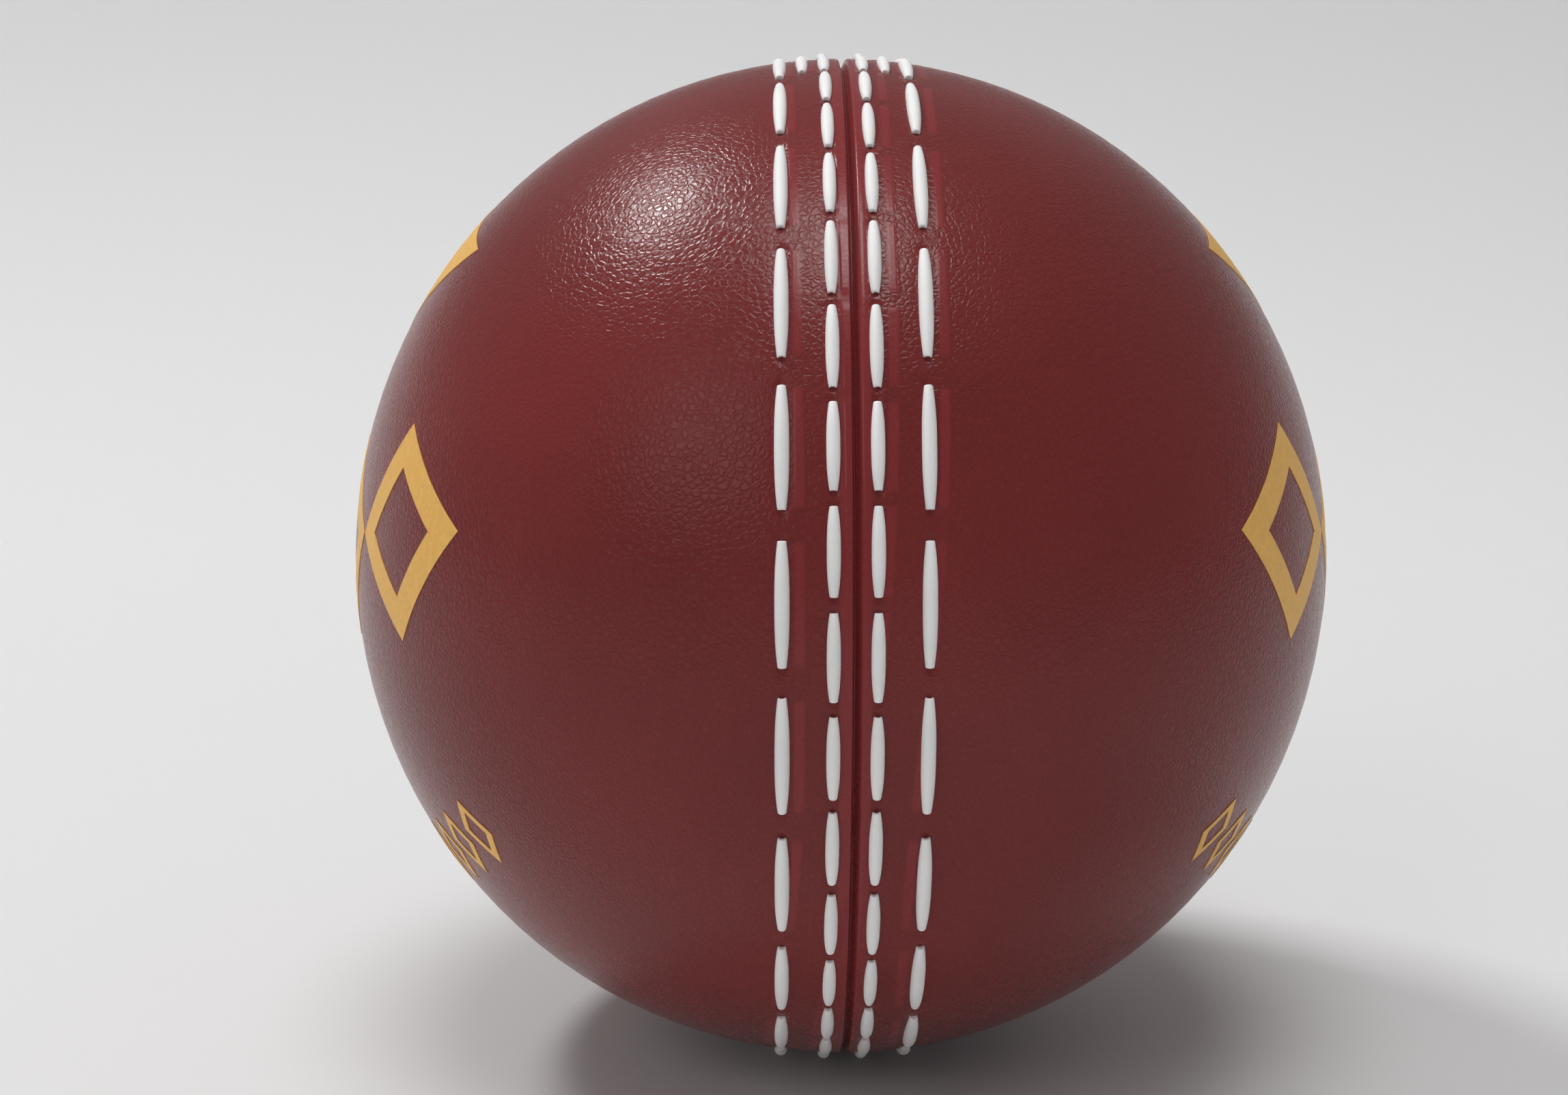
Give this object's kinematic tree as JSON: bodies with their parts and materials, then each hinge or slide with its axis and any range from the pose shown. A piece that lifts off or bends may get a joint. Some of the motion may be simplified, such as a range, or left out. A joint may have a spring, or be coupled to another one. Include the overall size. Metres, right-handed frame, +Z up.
{
  "type": "cricket ball",
  "caption": "Hard red leather cricket ball: two cups closed by a grooved seam with rows of white stitching over a wound yarn and cork core.",
  "frame": {"origin": "the middle of the ball, in the plane of the seam", "axes": "X runs from the left cheek (-X) to the right cheek (+X), square to the seam; the seam lies in the YZ plane; -Y faces the viewer and +Z is up"},
  "size_m": [0.071, 0.0734, 0.0734],
  "materials": {
    "red_leather": "polished, fine pebbled grain",
    "white_thread": "waxed thread",
    "gold_foil": "satin gold foil",
    "wound_yarn": "tightly wound worsted yarn",
    "cork": "matt cork",
    "cork_rubber": "matt moulded cork and rubber"
  },
  "bodies": {
    "root": {"leather_cup_left": "red_leather", "leather_cup_right": "red_leather", "seam_thread_a": "white_thread", "seam_thread_b": "white_thread", "outer_thread_left": "white_thread", "outer_thread_right": "white_thread", "foil_stamp_left": "gold_foil", "foil_stamp_right": "gold_foil", "yarn_winding_1": "wound_yarn", "yarn_winding_2": "wound_yarn", "yarn_winding_3": "wound_yarn", "yarn_winding_4": "wound_yarn", "yarn_winding_5": "wound_yarn", "cork_layer_1": "cork", "cork_layer_2": "cork", "cork_layer_3": "cork", "cork_layer_4": "cork", "cork_layer_5": "cork", "cork_rubber_nucleus": "cork_rubber"}
  },
  "joints": []
}
